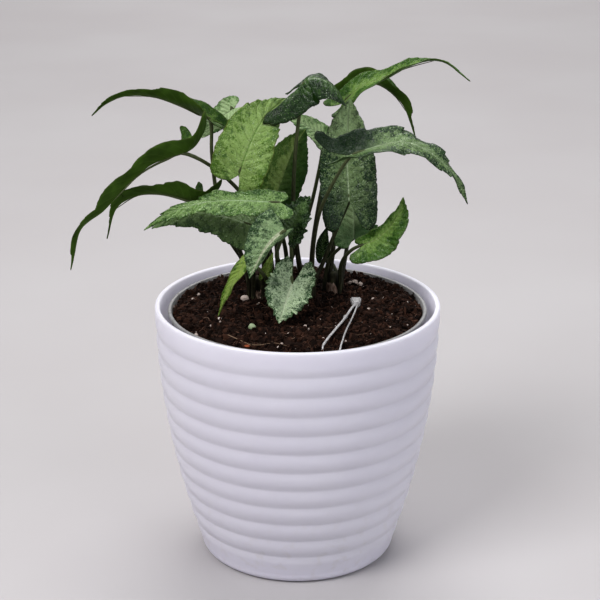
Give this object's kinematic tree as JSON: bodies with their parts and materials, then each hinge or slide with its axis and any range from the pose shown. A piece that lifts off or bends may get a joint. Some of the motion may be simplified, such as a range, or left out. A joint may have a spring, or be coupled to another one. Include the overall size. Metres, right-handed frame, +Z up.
{
  "type": "potted arrowhead plant",
  "caption": "Arrowhead plant with arrow-shaped variegated leaves on long stalks, in a soil-filled grow pot inside a tapered white pot with horizontal ribs.",
  "frame": {"origin": "centre of the outer pot's flat base, on the surface that it stands on", "axes": "+Z up along the pot's axis, +X the plant's right and -Y its front, both as pictured"},
  "size_m": [0.1895, 0.1443, 0.2487],
  "materials": {
    "outer_pot": "cool white plastic with a satin sheen",
    "grow_pot": "thin translucent greyish cream plastic",
    "soil": "dark brown damp potting mix with white grains and root fibres",
    "stems": "dull brownish green stem",
    "leaf_green": "smooth mid green blade with a slight gloss",
    "leaf_dark": "dark green mottled blade with a slight gloss",
    "leaf_light": "bright yellow-green mottled blade with pale veins",
    "leaf_pale": "mint to grey-green blade with a dark mottled border",
    "clear_plastic": "clear whitish plastic"
  },
  "bodies": {
    "root": {"outer_pot": "outer_pot", "grow_pot": "grow_pot", "soil": "soil", "stem_left": "stems", "stem_back": "stems", "stem_middle": "stems", "stem_right": "stems", "stem_front": "stems", "leaf_01": "leaf_green", "leaf_02": "leaf_green", "leaf_03": "leaf_green", "leaf_04": "leaf_green", "leaf_05": "leaf_green", "leaf_06": "leaf_light", "leaf_07": "leaf_dark", "leaf_08": "leaf_green", "leaf_09": "leaf_green", "leaf_10": "leaf_green", "leaf_11": "leaf_green", "leaf_12": "leaf_dark", "leaf_13": "leaf_light", "leaf_14": "leaf_pale", "leaf_15": "leaf_dark", "leaf_16": "leaf_dark", "leaf_17": "leaf_pale", "leaf_18": "leaf_light", "leaf_19": "leaf_pale", "leaf_20": "leaf_light", "leaf_21": "leaf_dark", "leaf_22": "leaf_pale", "leaf_23": "leaf_green", "leaf_24": "leaf_green", "tag_loop": "clear_plastic"}
  },
  "joints": []
}
